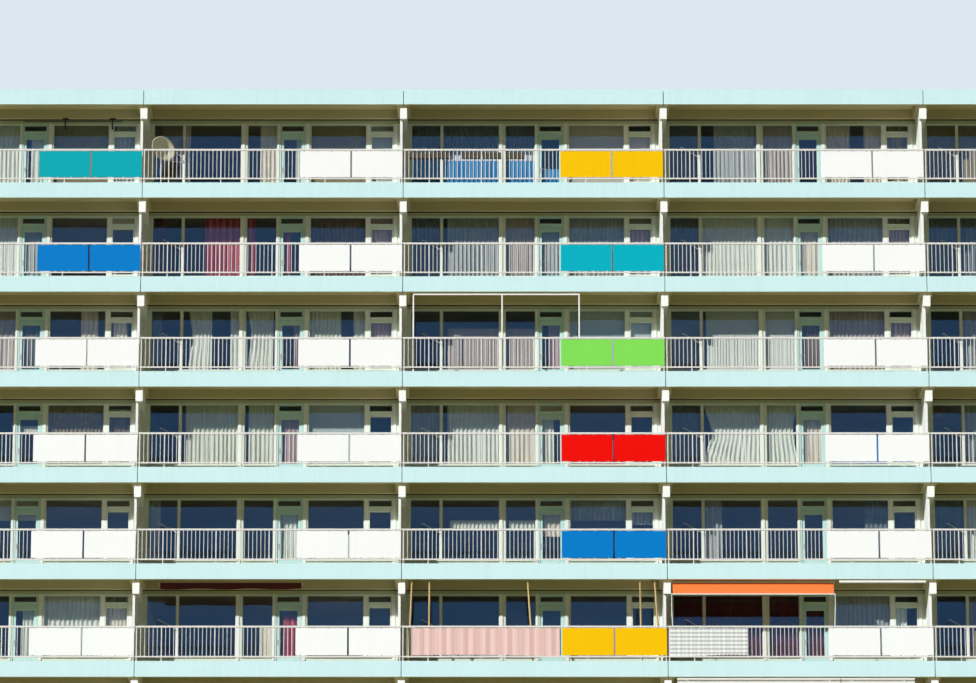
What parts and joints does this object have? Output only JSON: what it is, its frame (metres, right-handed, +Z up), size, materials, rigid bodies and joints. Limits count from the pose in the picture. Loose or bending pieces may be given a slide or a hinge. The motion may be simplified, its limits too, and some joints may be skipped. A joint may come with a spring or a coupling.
{
  "type": "apartment block",
  "caption": "Gallery-access apartment block with stacked balconies, mint fascias, bar railings with coloured panels and full-width window walls.",
  "frame": {"origin": "middle of the block's footprint, at ground level", "axes": "+X along the front towards the viewer's right, +Y from the balcony front to the gallery, +Z up"},
  "size_m": [37.7, 13.8, 22.4],
  "materials": {
    "concrete": "cast concrete, matt",
    "wall_paint": "painted concrete, matt",
    "deck_paint": "painted precast concrete, matt",
    "railing_paint": "painted galvanised steel, satin",
    "panel_white": "powder coated sheet, satin",
    "panel_yellow": "powder coated sheet, satin",
    "panel_blue": "powder coated sheet, satin",
    "panel_red": "powder coated sheet, satin",
    "panel_green": "powder coated sheet, satin",
    "panel_cyan": "powder coated sheet, satin",
    "panel_teal": "powder coated sheet, satin",
    "screen_paint": "painted cement board, matt",
    "frame_paint": "painted timber, satin",
    "door_paint": "painted timber, satin",
    "glass": "clear double glazing",
    "cloth": "woven cloth, matt"
  },
  "bodies": {
    "root": {"ground_slab": "concrete", "cross_wall_1": "wall_paint", "cross_wall_2": "wall_paint", "cross_wall_3": "wall_paint", "cross_wall_4": "wall_paint", "cross_wall_5": "wall_paint", "cross_wall_6": "wall_paint", "floor_slab_1": "concrete", "floor_slab_2": "concrete", "floor_slab_3": "concrete", "floor_slab_4": "concrete", "floor_slab_5": "concrete", "floor_slab_6": "concrete", "floor_slab_7": "concrete", "roof_slab": "concrete", "balcony_slab_1": "deck_paint", "balcony_slab_2": "deck_paint", "balcony_slab_3": "deck_paint", "balcony_slab_4": "deck_paint", "balcony_slab_5": "deck_paint", "balcony_slab_6": "deck_paint", "balcony_slab_7": "deck_paint", "roof_edge": "deck_paint", "gallery_slabs": "deck_paint", "deck_beams": "wall_paint", "gallery_parapets": "panel_white", "front_railings": "railing_paint", "panels_white": "panel_white", "panels_yellow": "panel_yellow", "panels_blue": "panel_blue", "panels_red": "panel_red", "panels_green": "panel_green", "panels_cyan": "panel_cyan", "panels_teal": "panel_teal", "privacy_screens": "screen_paint", "front_window_wall": "frame_paint", "front_glass": "glass", "balcony_doors": "door_paint", "rear_wall": "wall_paint", "gallery_windows": "glass", "gallery_doors": "door_paint", "ground_front_wall": "wall_paint", "store_windows": "glass", "ground_rear_wall": "wall_paint", "store_doors": "door_paint"}
  },
  "joints": []
}
